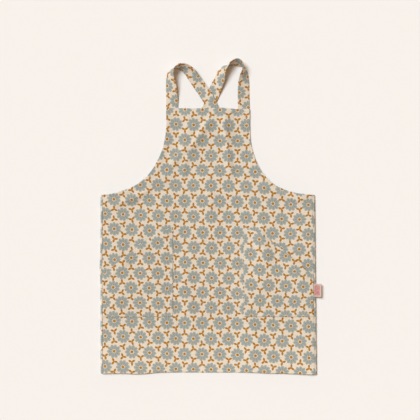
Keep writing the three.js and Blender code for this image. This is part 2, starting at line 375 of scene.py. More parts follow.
# How far in the photographed armholes lie: share of the way up, then mm.
LEFT_INSET = (0, 0.05, 0.08, 0.13, 0.21, 0.28, 0.4, 0.6, 1), (0, 1.6, 4.4, 5.2, 4.8, 3.7, 2, 1, 0.6)
RIGHT_INSET = (
    (0, 0.05, 0.065, 0.09, 0.13, 0.18, 0.29, 0.45, 0.6, 1), (0, 0.8, 1.4, 3.8, 4, 3, 2.2, 1, 0.4, 0.4)
)
up_armhole = (row_heights - armhole_corner) / (bib_top - armhole_corner)
left_edge += relaxed_line(np.interp(up_armhole, *LEFT_INSET), 2) * MM
right_edge -= relaxed_line(np.interp(up_armhole, *RIGHT_INSET), 2) * MM

half = 0.5 * (right_edge[0] - left_edge[0])
shares = edge_places(2 * half, CELL) / half - 1
# The side seams. The left one lies further out, bows beside its pocket and has a softer groove.
SEAM_CLOSE = 0.11 * MM
SEAM_OUT = 1.5 * MM
SEAM_WIDTH = 1.6 * MM
SEAM_DEPTH = {-1: 0.3, 1: 1.0}
BOW, BOW_AT, BOW_WIDTH = 1.8 * MM, -102 * MM, 36 * MM


def bulge(y):
    """How far the left side bows out beside its pocket."""
    return BOW * bell(y - BOW_AT, BOW_WIDTH)


left_edge[~curved] -= SEAM_CLOSE + SEAM_OUT + bulge(row_heights[~curved])
right_edge[~curved] += SEAM_CLOSE
print("front:", len(row_heights), "rows of", len(shares), "points")

# %% Front: points in plan
LIFT_X = np.array([-223, -202, -181, -160, -139, -107, -65, -23, 18, 60, 92, 123, 144, 207]) * MM
LIFT = np.array([2.1, 2.5, 1.7, 0, 0, 1.6, 0.8, 0, 0, 0.8, 1.2, 0.5, 1.0, 0.8]) * MM


def hem_lift(x):
    """How much higher than the solid's the photographed hem lies, along its wavy line."""
    return np.interp(x, LIFT_X, LIFT)


x_at_edges = np.where(shares < 0, -shares, 0), np.where(shares > 0, shares, 0)
front_x = left_edge[:, None] * x_at_edges[0] + right_edge[:, None] * x_at_edges[1]
hem_x = np.linspace(left_edge[0] + 0.5 * MM, right_edge[0] - 0.5 * MM, 60)
clear = hem_middle + HEM_CLEAR
hem_y = [find_edge(front_tree, (x, clear), (x, front_low.y - BEYOND)).y for x in hem_x]
hem_y[0], hem_y[-1] = hem_y[1], hem_y[-2]
hem_y = relaxed_line(hem_y, 4) + hem_lift(hem_x)
below = 1 - smoothstep((row_heights - hem_middle) / (armhole_corner - hem_middle))
front_y = row_heights[:, None] + below[:, None] * (np.interp(front_x, hem_x, hem_y) - hem_middle)
TOP_X = np.array([-80, -61, -23, 0, 18, 31, 41, 51, 81]) * MM
TOP_FALL = (1.0, 1.2, 1.5, 0.4, 0, 0.2, 1.6, 2.6, 2.2)
top_at = np.linspace(TOP_X[0], TOP_X[-1], 60)
top_fall = relaxed_line(np.interp(top_at, TOP_X, TOP_FALL), 4)
near_top = smoothstep((row_heights - bib_top + 60 * MM) / (60 * MM))[:, None]
front_y -= near_top * np.interp(front_x, top_at, top_fall) * MM
front_top = heights(front_tree, front_x, front_y)
front_smooth = np.maximum(relaxed(front_top, 26), front_top - 0.3 * MM)
front_smooth = relaxed(front_smooth, 6)

hem_edge, top_edge = Edge(front_x[0], front_y[0]), Edge(front_x[-1], front_y[-1])
arm_edges = [Edge(front_x[curved, end], front_y[curved, end]) for end in (0, -1)]
print("armhole edges, mm:", [round(edge.length / MM) for edge in arm_edges])

# %% [markdown]
# The cloth is not dead flat: it keeps soft swells from being handled, and along the bias of an
# armhole it flutes a little. These come from noise, which is the same on every run.

# %% Front: soft folds
# Each fold, in mm: where it starts, where it ends, its half width and its height.
SOFT_FOLDS = [
    ((104, -30), (112, -165), 20, 1.3),
    ((-192, -30), (-180, -135), 15, 0.9),
    ((-92, 104), (-42, 158), 9, 1.2),
    ((27, 228), (42, 74), 7, 2.6),
    ((10, 216), (-52, 130), 9, 2.1),
    ((-46, 134), (-60, 80), 7, 1.6),
    ((-212, 24), (-120, 58), 8, 2.0),
    ((98, 74), (202, 30), 8, 2.0),
    ((102, -8), (121, -104), 9, 1.7),
    ((9, 222), (104, 46), 12, 1.0),
    ((-19, 222), (-116, 46), 12, 1.0),
    ((-156, -16), (-118, -126), 11, 1.3),
    ((-64, -70), (-28, -306), 15, 1.2),
    ((58, -110), (98, -312), 15, 1.2),
    ((-8, 60), (14, -60), 12, 0.9),
]


def soft_folds(x, y):
    """Height of the soft folds at places in plan, each fading out towards its ends."""
    total = 0 * x
    for (x0, y0), (x1, y1), half_width, rise in SOFT_FOLDS:
        along = np.array([x1 - x0, y1 - y0]) * MM
        length = np.linalg.norm(along)
        along /= length
        from_x, from_y = x - x0 * MM, y - y0 * MM
        t = (from_x * along[0] + from_y * along[1]) / length
        aside = -from_x * along[1] + from_y * along[0] + 3 * MM * np.sin(4 * t)
        fade = smoothstep(t / 0.25) * smoothstep((1 - t) / 0.25)
        total += 2.0 * rise * MM * fade * bell(aside, half_width * MM)
    return total


print("soft folds:", len(SOFT_FOLDS))

# %% Front: relief and wall
hem_far, hem_along = hem_edge.near(front_x, front_y)
top_far, top_along = top_edge.near(front_x, front_y)
arm_far, arm_along = zip(*[edge.near(front_x, front_y) for edge in arm_edges])
side_far = np.minimum(front_x - left_edge[:, None], right_edge[:, None] - front_x)
skirt = row_heights[:, None] < armhole_corner
side_far = np.where(skirt, side_far, 50 * MM)
nearest_arm = np.minimum(*arm_far)
nearest_edge = least(hem_far, top_far, nearest_arm, side_far)

swell = 1.15 * MM * noise_field(front_x + 0.4 * front_y, front_y, 62 * MM, 105 * MM, 3.1)
swell += 0.42 * MM * noise_field(front_x, front_y + 0.3 * front_x, 27 * MM, 46 * MM, 8.7)
calm = smoothstep((nearest_edge - 2 * MM) / (26 * MM))
flute = 0.45 * MM * np.sin(2 * math.pi * np.minimum(*arm_along) / (43 * MM) + 1.0)
flute = flute * bell(nearest_arm, 22 * MM) * smoothstep(nearest_arm / (6 * MM))

relief = hem_relief(hem_far, hem_along, HEM_STITCH, 1.0)
relief += hem_relief(top_far, top_along, TOP_STITCH, 2.0)
for number in (0, 1):
    relief += hem_relief(arm_far[number], arm_along[number], ARMHOLE_STITCH, 3.0 + number)
relief += (swell + 0.35 * MM) * calm + flute
relief += soft_folds(front_x, front_y) * smoothstep((nearest_edge - 1 * MM) / (14 * MM))
under_arm = np.where(front_x < 0, 3.4, 2.4) * MM * smoothstep((np.abs(front_x) - 70 * MM) / (45 * MM))
relief += under_arm * (1 - smoothstep(nearest_arm / (34 * MM))) * smoothstep(side_far / (30 * MM))
seam_depth = np.where(front_x < 0, SEAM_DEPTH[-1], SEAM_DEPTH[1])
relief -= seam_depth * 0.28 * MM * bell(side_far, SEAM_WIDTH)
front_wall = most(
    hem_wall(hem_far, HEM_STITCH), hem_wall(top_far, TOP_STITCH), hem_wall(nearest_arm, ARMHOLE_STITCH)
)
turned_far = least(hem_far, top_far, nearest_arm)
drop = edge_drop(turned_far, front_wall) + 0.5 * seam_depth * edge_drop(side_far, front_wall)
settled = 2.7 * MM * (1 - smoothstep((nearest_arm - 27 * MM) / (20 * MM)))
settled = settled * smoothstep((front_y - armhole_corner - 50 * MM) / (70 * MM))
front_z = front_smooth - 0.15 * MM - settled + relief - drop
front_wall = np.maximum(front_wall - 2 * drop, THINNEST)
front_z = np.maximum(front_z, front_wall + 0.1 * MM)


def off_grain(x, y, seed):
    """Where the print lies on cloth that washing has pulled a little out of square."""
    pull_x = 2.4 * MM * noise_field(x, y, 150 * MM, 190 * MM, seed)
    pull_y = 3.0 * MM * noise_field(x, y, 170 * MM, 130 * MM, seed + 5.0)
    return np.stack([x + pull_x, y + pull_y + 0.03 * x], -1)


front_points = np.stack([front_x, front_y, front_z], -1)
front_cut = off_grain(front_x, front_y, 50.0)
front = lay_cloth("front_cloth", "front_panel", front_points, front_cut, front_wall)

# %% [markdown]
# ## The back panels
# Each back panel starts at the middle of the back, lies flat on the table, turns round the side
# and comes up to the side seam. In section that is a long straight, a half turn and a short lip,
# so each point is placed by how far along the section it is.

# %% Back panels
BACK_HEM_STITCH = 14 * MM
BACK_SIDE_STITCH = 10 * MM
SEAM_GAP = 0.07 * MM
CLOTH_GAP = 0.3 * MM
FOLD_CELL = 0.75 * MM
COARSE_CELL = 4 * CELL / 3
PEEK_MORE = 0.6
FOLD_IN = {-1: 0.0, 1: 1.6 * MM}
BACK_PRINT = (13 * MM, 6 * MM)


def back_panel(side, node, name):
    """One back panel on the given side, outside face down."""
    low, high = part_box(node)
    radius = 0.5 * (high.z - low.z)
    rows = edge_places(high.y - low.y, COARSE_CELL)
    inside_x = 0.5 * (low.x + high.x)
    levels = np.clip(rows + low.y, low.y + 6 * MM, high.y - 1 * MM)

    def edge_towards(x):
        return np.array([find_edge(cad[node], (inside_x, y), (x, y)).x for y in levels]) * side

    seam = np.interp(levels, row_heights, right_edge if side > 0 else left_edge) * side + SEAM_GAP
    outer = edge_towards(side * FAR_ASIDE) - FOLD_IN[side] + (bulge(levels) if side < 0 else 0)
    inner = edge_towards(0)
    straight = (outer - radius - inner).mean()
    turn = math.pi * radius
    lips = outer - radius - seam
    lip = lips.mean()
    print(name, "radius, lip, mm:", round(radius / MM, 2), round(lip / MM, 2))
    flat_part = edge_places(straight, COARSE_CELL)[:-3]
    fold_part = spread(straight, straight + turn, FOLD_CELL)
    lip_part = straight + turn + lip * np.array([0.3, 0.6, 0.85, 1.0])
    section = np.concatenate([flat_part, fold_part, lip_part])
    angle = np.clip(section - straight, 0, turn) / radius
    past = np.maximum(section - straight - turn, 0) * (lips / lip)[:, None]
    centre = outer - radius
    x = inner[:, None] + (centre - inner)[:, None] * np.minimum(section / straight, 1)
    x = x + radius * np.sin(angle) - past
    z = radius - radius * np.cos(angle) + 0 * x
    hem_at = np.linspace(inner[0] + 0.5 * MM, outer[0] - 0.5 * MM, 24)
    clear, beyond = low.y + HEM_CLEAR, low.y - BEYOND
    hem_line = [find_edge(cad[node], (side * a, clear), (side * a, beyond)).y for a in hem_at]
    hem_line[-1] = hem_line[-2]
    hem_line = relaxed_line(hem_line, 3) + hem_lift(side * hem_at)
    front_hem = np.interp(side * hem_at, hem_x, hem_y)
    hem_line = hem_line - PEEK_MORE * np.clip(front_hem - hem_line, 0, 2 * MM)
    shift = np.interp(x, hem_at, hem_line) - low.y
    y = low.y + rows[:, None] + (1 - rows[:, None] / rows[-1]) ** 2 * shift
    far_hem, far_top, far_inner = y - y[0], y[-1] - y, section + 0 * x
    stitched = (
        (far_hem, BACK_HEM_STITCH, x, 5.0),
        (far_inner, BACK_SIDE_STITCH, y, 6.0),
        (far_top, BACK_SIDE_STITCH, x, 7.0),
    )
    wall = most(*(hem_wall(far, line) for far, line, _, _ in stitched))
    lip_far = section[-1] - section + 0 * x
    edge = least(far_hem, far_top, far_inner)
    drop = np.maximum(edge_drop(edge, wall), SEAM_DEPTH[side] * edge_drop(lip_far, wall))
    inward = drop.copy()
    for far, line, along, seed in stitched:
        drawn = 0.1 * MM * (1 + wavering(along, seed)) * bell(far - line, PUCKER_WIDTH)
        inward += 0.2 * MM * bell(far - line, DITCH_WIDTH) + drawn * (angle == 0)
    soft = 0.35 * MM * noise_field(y, section + 0 * x, 34 * MM, 40 * MM, 12.0 + side)
    inward += (soft + 0.2 * MM) * np.clip(angle / 0.6, 0, 1) * smoothstep(lip_far / (3 * MM))
    z = np.maximum(z + inward * np.cos(angle), 0.02 * MM)
    points = np.stack([side * (x - inward * np.sin(angle)), y, z], -1)
    cut = off_grain(side * (section + BACK_PRINT[0]) + 0 * x, y + BACK_PRINT[1], 70.0 + side)
    if side > 0:
        points, cut, wall, drop = (grid[:, ::-1] for grid in (points, cut, wall, drop))
    return lay_cloth(name, node, points, cut, np.maximum(wall - 2 * drop, THINNEST)), straight + turn + lip


back_left, back_cut = back_panel(-1, "back_panel_left", "back_cloth_left")
back_right, _ = back_panel(1, "back_panel_right", "back_cloth_right")

# %% [markdown]
# ## The straps
# A strap is a strip folded in four and stitched near both edges. The solid strap is a chain of
# sections, and stepping from one end from neighbour to neighbour meets them one after another.
# A smooth curve through them carries the cloth, so the loop bends without corners.

# %% Straps: sections of the solid
STRAP_WIDTH = 25 * MM
STRAP_THICKNESS = 1.5 * MM
STRAP_STITCH = 2.6 * MM
STRAP_ROUND = 0.9 * MM
STRAP_TUCK = 25 * MM
STRAP_PRINT = (9.25 * MM, 7 * MM)
# Places along each strap in mm, then the share of the solid's tilt kept there, how far it sinks
# and how far it leans outwards where it stands on its edge.
LAID = {
    -1: (
        (0, 30, 75, 95, 120, 145, 170, 200, 222, 500),
        (1, 1, 1.4, 1.2, 1, 1, 0.5, 0.5, 1, 1),
        (3.1, 3.1, -1.5, -2.5, 0, 0, 1.6, 1.2, 0, 0),
        (0, 0, 0, 0, 0.24, 0, 0, 0, 0, 0),
    ),
    1: (
        (0, 30, 75, 100, 120, 140, 155, 175, 204, 225, 500),
        (1, 0.6, 0.5, 0.8, 0.95, 1, 0.95, 0.68, 0.55, 1, 1),
        (3.1, 3.1, 0, 0, 0, 0, 0, 0.5, 0, 0, 0),
        (0, 0, 0, 0, 0.22, 0.24, 0, 0, 0, 0, 0),
    ),
}
# Where the photographed loops bow out further than the solids: place along, then x and y in mm.
OUTWARD = {-1: ((97, -1.4, 2.2),), 1: ((168, -1.6, 1.8), (128, 0.0, 0.8))}


def strap_sections(node, start):
    """Middle and width direction of each section of a strap, from the end behind the bib."""
    corners, neighbours = {}, {}
    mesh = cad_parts[node].data
    mesh.calc_loop_triangles()
    for triangle in mesh.loop_triangles:
        keys = []
        for index in triangle.vertices:
            place = mesh.vertices[index].co
            key = tuple(round(v / (0.005 * MM)) for v in place)
            corners[key] = np.array(place)
            keys.append(key)
        for key in keys:
            neighbours.setdefault(key, set()).update(keys)
    from_start = {key: np.abs(corner - start) for key, corner in corners.items()}
    front_line = {key for key, (x, y, _) in from_start.items() if x < 14 * MM and y < 1 * MM}
    met, sections = set(), []
    while front_line:
        sections.append(np.array([corners[key] for key in front_line]))
        met |= front_line
        front_line = {n for key in front_line for n in neighbours[key]} - met
    middles, widths = [], []
    for section in sections:
        centre = section.mean(0)
        _, _, axes = np.linalg.svd(section - centre)
        width = axes[0]
        if widths and np.dot(width, widths[-1]) < 0:
            width = -width
        middles.append(centre)
        widths.append(width)
    return np.array(middles), np.array(widths)


def smooth_through(values, at, count):
    """A curve through values, at even steps of the chain's length, without corners."""
    wanted = np.linspace(at[0], at[-1], count)
    index = np.clip(np.searchsorted(at, wanted) - 1, 0, len(at) - 2)
    slope = np.gradient(values, at, axis=0)
    width = (at[index + 1] - at[index])[:, None]
    t = ((wanted - at[index])[:, None]) / width
    a, b = values[index], values[index + 1]
    return (
        (2 * t**3 - 3 * t**2 + 1) * a + (t**3 - 2 * t**2 + t) * width * slope[index]
        + (3 * t**2 - 2 * t**3) * b + (t**3 - t**2) * width * slope[index + 1]
    )


def strap(side, node, name):
    """One strap, from behind the bib's corner to the back panel on the other side."""
    x_start = (left_edge if side < 0 else right_edge)[-1] - side * STRAP_WIDTH / 2
    start = np.array([x_start, bib_top - STRAP_TUCK, 0])
    middles, widths = strap_sections(node, start)
    widths *= np.sign(widths[0, 0])
    at = running_length(middles)
    length = at[-1]
    places = edge_places(length, 2.6 * MM)
    fine = len(places) * 4
    even = np.linspace(0, length, fine)
    smooth = []
    for values, rounds in ((middles, 4), (widths, 7)):
        values = np.stack([relaxed_line(column, rounds) for column in values.T], 1)
        smooth.append(resampled(places, even, smooth_through(values, at, fine)))
    middle_line, width_line = smooth
    laid_at, *laid = LAID[side]
    kept, sunk, leaning = (relaxed_line(np.interp(places / MM, laid_at, row), 12) for row in laid)
    width_line[:, 1] += leaning * np.sign(width_line[:, 2])
    width_line = unit_rows(width_line)
    middle_line[:, 1] -= leaning * STRAP_WIDTH * 0.4
    for place, push_x, push_y in OUTWARD[side]:
        middle_line[:, :2] += bell(places / MM - place, 16)[:, None] * (push_x * MM, push_y * MM)
    low_edge = middle_line[:, 2] - np.abs(width_line[:, 2]) * STRAP_WIDTH / 2 - sunk * MM
    width_line[:, 2] *= kept
    width_line = unit_rows(width_line)
    rise = np.abs(width_line[:, 2]) * STRAP_WIDTH / 2
    lowest = np.sqrt(1 - width_line[:, 2] ** 2) * STRAP_THICKNESS / 2 + 0.15 * MM
    middle_line[:, 2] = np.maximum(low_edge, lowest) + rise
    along = unit_rows(np.gradient(middle_line, places, axis=0))
    width_line = unit_rows(width_line - along * (along * width_line).sum(1, keepdims=True))
    normal = np.cross(width_line, along)
    across = edge_places(STRAP_WIDTH, 0.9 * MM, near=(0.3 * MM, 0.8 * MM, 1.6 * MM)) - STRAP_WIDTH / 2
    edge_far = STRAP_WIDTH / 2 - np.abs(across)
    groove = 0.30 * bell(edge_far - STRAP_STITCH, 0.7 * MM)
    drawn = 0.10 * wavering(places, 20.0 + side)[:, None] * bell(edge_far - STRAP_STITCH, 3 * MM)
    drawn = drawn * (edge_far > 1 * MM)
    wall = STRAP_THICKNESS * (1 - groove - 0.8 * near_edge(edge_far, STRAP_ROUND) + drawn)
    u, v = np.broadcast_arrays(across, places[:, None])
    end_far = np.minimum(v, length - v)
    wall = np.maximum(wall * (1 - 0.8 * near_edge(end_far, STRAP_ROUND)), 0.1 * MM)
    ripple = 0.22 * MM * noise_field(v, u, 24 * MM, 19 * MM, 30.0 + side)
    points = middle_line[:, None] + across[:, None] * width_line[:, None]
    points = points + ripple[..., None] * normal[:, None]
    cut = np.stack([u + STRAP_PRINT[0], v + side * STRAP_PRINT[1]], -1)
    piece = lay_cloth(name, node, points, cut, wall, offset=0)
    lines = {"middle": middle_line, "width": width_line, "normal": normal, "places": places}
    return piece, length, lines


strap_left, left_length, left_lines = strap(-1, "strap_left", "strap_cloth_left")
strap_right, right_length, right_lines = strap(1, "strap_right", "strap_cloth_right")
print("strap lengths, mm:", round(left_length / MM), round(right_length / MM))

# %% [markdown]
# ## The pockets
# A pocket is a patch with its edges turned under and stitched to the front close to the edge.
# Its slanting mouth has a wide hem and stays loose. The patch lies on the front as that was
# made above, and gapes only a little, as empty pockets do.

# %% Pockets
MOUTH_STITCH = 14 * MM
PATCH_STITCH = 2.2 * MM
PATCH_HEM = 5 * MM
GAPE = 0.45
PRINT_SHIFT = {-1: (1.5, -6.0), 1: (-9.0, 12.5)}
front_cloth_tree = tree_of(front)


def pocket(side, node, name):
    """One patch pocket on the given side of the front."""
    low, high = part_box(node)
    tree = cad[node]
    tall = high.y - low.y
    centre_x, centre_y = centre = (0.5 * (low.x + high.x), low.y + 0.25 * tall)
    rows = edge_places(tall, CELL) / tall
    inner = find_edge(tree, centre, (0, centre_y)).x
    outer = find_edge(tree, centre, (side * FAR_ASIDE, centre_y)).x
    bottom = find_edge(tree, centre, (centre_x, low.y - BEYOND)).y
    x_line = inner + side * edge_places(abs(outer - inner), CELL)
    inside_x = x_line + side * np.where(np.abs(x_line - inner) < 1 * MM, 1 * MM, 0)
    inside_x = inside_x - side * np.where(np.abs(x_line - outer) < 3 * MM, 3 * MM, 0)
    mouth = [find_edge(tree, (a, centre_y), (a, high.y + BEYOND)).y for a in inside_x]
    mouth = relaxed_line(mouth, 12)
    x = x_line + 0 * rows[:, None]
    y = bottom + rows[:, None] * (mouth - bottom)
    seam_line = np.interp(y[:, -1], row_heights, right_edge if side > 0 else left_edge)
    x = x + ((seam_line - side * 0.2 * MM) - x[:, -1])[:, None] * ((x_line - inner) / (outer - inner)) ** 2
    under = heights(front_cloth_tree, x, y)
    space = heights(tree, x, y, above=False) - heights(cad["front_panel"], x, y) - CLOTH_GAP
    space = relaxed(np.clip(space, 0, None), 14)
    mouth_edge = Edge(x[-1], y[-1])
    far_mouth, along_mouth = mouth_edge.near(x, y)
    far_bottom, far_inner, far_outer = y - bottom, np.abs(x - inner), np.abs(x - x[:, -1:])
    hems = (far_mouth, MOUTH_STITCH), (far_bottom, PATCH_HEM), (far_inner, PATCH_HEM)
    wall = most(*(hem_wall(*hem) for hem in hems))
    relief = hem_relief(far_mouth, along_mouth, MOUTH_STITCH, 14.0 + side)
    for far, along, seed in ((far_bottom, x, 16.0), (far_inner, y, 17.0)):
        relief += hem_relief(far, along, PATCH_STITCH, seed + side, 0.1 * MM, 0.3 * MM, 0.13 * MM)
    swell = 0.5 * MM * noise_field(x, y, 38 * MM, 52 * MM, 41.0 + side)
    calm = smoothstep((least(far_bottom, far_inner, far_outer) - 3 * MM) / (20 * MM))
    relief += (swell + 0.3 * MM) * calm - 0.35 * MM * bell(far_outer, SEAM_WIDTH)
    drop = edge_drop(least(far_bottom, far_inner, far_mouth, far_outer), wall)
    lifted = relaxed(under, 3) + 0.12 * MM + wall + GAPE * space + relief - drop
    wall = np.maximum(wall - 2 * drop, THINNEST)
    lifted = np.maximum(lifted, under + wall + 0.03 * MM)
    points = np.stack([x, y, lifted], -1)
    cut = off_grain(x, y, 60.0 + side) + np.array(PRINT_SHIFT[side]) * MM
    if side < 0:
        points, cut, wall = (grid[:, ::-1] for grid in (points, cut, wall))
    return lay_cloth(name, node, points, cut, wall), {"inner": inner, "mouth": mouth_edge, "x": x, "y": y}


pocket_left, left_patch = pocket(-1, "pocket_left", "pocket_cloth_left")
pocket_right, right_patch = pocket(1, "pocket_right", "pocket_cloth_right")

# %% [markdown]
# ## The tab
# A woven tab is folded in half round its outer end and caught in the side seam. It is one strip
# of ribbon, laid along a hairpin: out along the lower layer, round the fold, back on top.

# %% Side tab
TAB_WALL = 0.42 * MM
TAB_ROUND = 0.5 * MM
TAB_SHORTER, TAB_WIDER, TAB_LOWER = 1.4 * MM, 1.6 * MM, 1.1 * MM
TIP_RISE = 6.0 * MM


def side_tab():
    """The folded ribbon tab in the seam at the right side."""
    low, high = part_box("side_tab")
    middle_y = 0.5 * (low.y + high.y)
    reach = high.x - low.x - TAB_SHORTER
    x_run = spread(0, reach - 0.9 * MM, 0.8 * MM)
    seat = [height(cad["side_tab"], low.x + 0.15 * MM + a * 0.98, middle_y) for a in x_run]
    seat = relaxed_line(seat, 6) - 0.15 * MM
    gap = 0.16 * MM + 0.22 * MM * smoothstep(x_run / reach)
    lower = np.stack([low.x + 0.1 * MM + x_run, seat - 2 * TAB_WALL - gap], 1)
    upper = np.stack([lower[:, 0], seat], 1)
    turn = np.linspace(-math.pi / 2, math.pi / 2, 9)[1:-1]
    bend = 0.5 * np.linalg.norm(upper[-1] - lower[-1]) * np.stack([np.cos(turn), np.sin(turn)], 1)
    course = np.concatenate([lower, 0.5 * (lower[-1] + upper[-1]) + bend, upper[::-1]])
    course[:, 1] += TIP_RISE * smoothstep((course[:, 0] - low.x - 4 * MM) / (16 * MM))
    along = running_length(course)
    width = high.y - low.y + TAB_WIDER
    across = edge_places(width, 1.3 * MM, near=(0.25 * MM, 0.6 * MM))
    side_far = np.minimum(across, width - across)[:, None]
    wave = 0.12 * MM * np.sin(across[:, None] / (5.5 * MM)) * smoothstep(along / (8 * MM))
    z = course[:, 1] + wave - 0.1 * MM * bell(side_far, TAB_ROUND)
    x, y, u = np.broadcast_arrays(course[:, 0], low.y - TAB_LOWER + across[:, None], along)
    wall = TAB_WALL * (1 - 0.6 * near_edge(side_far, TAB_ROUND)) + 0 * x
    points = np.stack([x, y, z], -1)
    cut = np.stack([u, across[:, None] + 0 * x], -1)
    return lay_cloth("woven_tab", "side_tab", points[:, ::-1], cut[:, ::-1], wall), along[-1], width


tab, tab_length, tab_width = side_tab()

# %% [markdown]
# ## Stitches
# Each visible seam is a row of small thread stitches in the ditch that they have pulled. One
# stitch is modelled from a small sphere: stretched to a grain, its ends pushed down into the
# cloth. It is then copied along the sewing lines, and each seam's copies are joined.

# %% One stitch
STITCH_PITCH = 3.1 * MM
STITCH_SIZE = (2.3 * MM, 0.50 * MM, 0.42 * MM)
ENDS_FROM, ENDS_SINK = 0.35, 0.35

deselect_all()
bpy.ops.mesh.primitive_uv_sphere_add(segments=6, ring_count=5, radius=0.5)
stitch = bpy.context.object
bpy.ops.object.mode_set(mode="EDIT")
bpy.ops.mesh.select_all(action="SELECT")
bpy.ops.transform.rotate(value=math.pi / 2, orient_axis="Y", center_override=(0, 0, 0))
bpy.ops.mesh.select_all(action="DESELECT")
bpy.ops.object.mode_set(mode="OBJECT")
for vertex in stitch.data.vertices:
    vertex.select = abs(vertex.co.x) > ENDS_FROM
bpy.ops.object.mode_set(mode="EDIT")
bpy.ops.transform.translate(value=(0, 0, -ENDS_SINK))
bpy.ops.object.mode_set(mode="OBJECT")
bpy.ops.object.shade_smooth()
stitch_mesh = stitch.data
bpy.data.objects.remove(stitch)
print("one stitch:", len(stitch_mesh.polygons), "faces")

# %% A way to sew
def sew(name, rows, pitch=STITCH_PITCH, size=STITCH_SIZE):
    """Joins copies of the stitch along rows. A row is points on the cloth and their normals."""
    copies = []
    for points, normals in rows:
        along = running_length(points)
        count = max(1, int(round(along[-1] / pitch)))
        places = (np.arange(count) + 0.5) * along[-1] / count
        ahead = resampled(places + 0.4 * pitch, along, points)
        behind = resampled(places - 0.4 * pitch, along, points)
        spots, ups = resampled(places, along, points), resampled(places, along, normals)
        for spot, up, forward in zip(spots, ups, ahead - behind):
            forward = Vector(forward).normalized()
            up = (Vector(up) - forward * forward.dot(Vector(up))).normalized()
            turn = Matrix((forward * size[0], up.cross(forward) * size[1], up * size[2]))
            turn = turn.transposed().to_4x4()
            turn.translation = Vector(spot) + up * 0.1 * size[2]
            copy = bpy.data.objects.new(name, stitch_mesh.copy())
            copy.data.transform(turn)
            bpy.context.scene.collection.objects.link(copy)
            copies.append(copy)
    deselect_all()
    for copy in copies:
        copy.select_set(True)
    bpy.context.view_layer.objects.active = copies[0]
    bpy.ops.object.join()
    seam = bpy.context.object
    seam.name = seam.data.name = name
    print(f"{name}: {len(copies)} stitches")
    return seam


def on_cloth(tree, line, lowest=None):
    """A line in plan put on top of cloth with its normals, or under it if a lowest level is given."""
    points, normals = [], []
    side = 1 if lowest is None else -1
    for x, y in line:
        spot, normal, _, _ = tree.ray_cast(Vector((x, y, side * RAY_START)), -side * UP)
        if spot is not None:
            points.append((spot.x, spot.y, spot.z if lowest is None else max(spot.z, lowest)))
            normals.append(normal if normal.z * side > 0 else -normal)
    return np.array(points), np.array(normals)


def trimmed(line, end):
    """A line in plan without a stretch at either end."""
    along = running_length(line)
    return line[(along > end) & (along < along[-1] - end)]


def straight(start, end, step=1.0 * MM):
    """Places on a straight line in plan."""
    start, end = np.array(start), np.array(end)
    count = max(2, int(np.linalg.norm(end - start) / step))
    return start + np.linspace(0, 1, count)[:, None] * (end - start)


def crossed_box(tree, x_a, x_b, y_a, y_b, lowest=None):
    """The square with a cross in it that holds the end of a strap."""
    corners = [(x_a, y_a), (x_b, y_a), (x_b, y_b), (x_a, y_b)]
    sewn = ((0, 1), (1, 2), (2, 3), (3, 0), (0, 2), (1, 3))
    return [on_cloth(tree, straight(corners[a], corners[b]), lowest) for a, b in sewn]


def bar_tack(tree, x, y):
    """A short dense zigzag that locks the end of a seam."""
    rows = []
    for level in y + np.linspace(-2.5, 2.5, 7) * MM:
        rows.append(on_cloth(tree, straight((x + 1.1 * MM, level), (x - 1.1 * MM, level), 0.4 * MM)))
    return rows


print("sewing tools ready")

# %% Seams of the front
BOX_ACROSS, BOX_DOWN = 19 * MM, 14 * MM
bib_middle = (0.5 * (left_edge[-1] + right_edge[-1]), bib_top - 60 * MM)
skirt_middle = (0, armhole_corner - 100 * MM)
sewing = [(hem_edge, HEM_STITCH, bib_middle, 2 * MM), (top_edge, TOP_STITCH, bib_middle, 2 * MM)]
sewing += [(edge, ARMHOLE_STITCH, skirt_middle, 3 * MM) for edge in arm_edges]
rows = []
for edge, inset, centre, end in sewing:
    rows.append(on_cloth(front_cloth_tree, trimmed(edge.inset(inset, centre), end)))
for side, edge in ((-1, left_edge), (1, right_edge)):
    x_out, y_high = edge[-1] - side * 3 * MM, bib_top - 2.4 * MM
    rows += crossed_box(front_cloth_tree, x_out, x_out - side * BOX_ACROSS, y_high, y_high - BOX_DOWN)
front_seams = sew("front_seams", rows)

# %% Seams of the pockets
pocket_seams = []
for side, piece, patch in ((-1, pocket_left, left_patch), (1, pocket_right, right_patch)):
    tree = tree_of(piece)
    x_grid, y_grid = patch["x"], patch["y"]
    low_y, high_y = y_grid[0, 0], y_grid[-1, 0]
    corner = (patch["inner"] + side * PATCH_STITCH, low_y + PATCH_STITCH)
    mouth_line = patch["mouth"].inset(MOUTH_STITCH, (x_grid.mean(), low_y + 30 * MM))
    rows = [
        on_cloth(tree, straight(corner, (corner[0], high_y - 2 * MM))),
        on_cloth(tree, straight(corner, (x_grid[0, -1] - side * 2 * MM, corner[1]))),
        on_cloth(tree, trimmed(mouth_line, 3 * MM)),
    ]
    rows += bar_tack(tree, corner[0] + side * 0.6 * MM, high_y - 5 * MM)
    rows += bar_tack(tree, x_grid[-1, -1] - side * 2.5 * MM, y_grid[-1, -1] - 4 * MM)
    pocket_seams.append(sew(piece.name.replace("cloth", "seams"), rows))

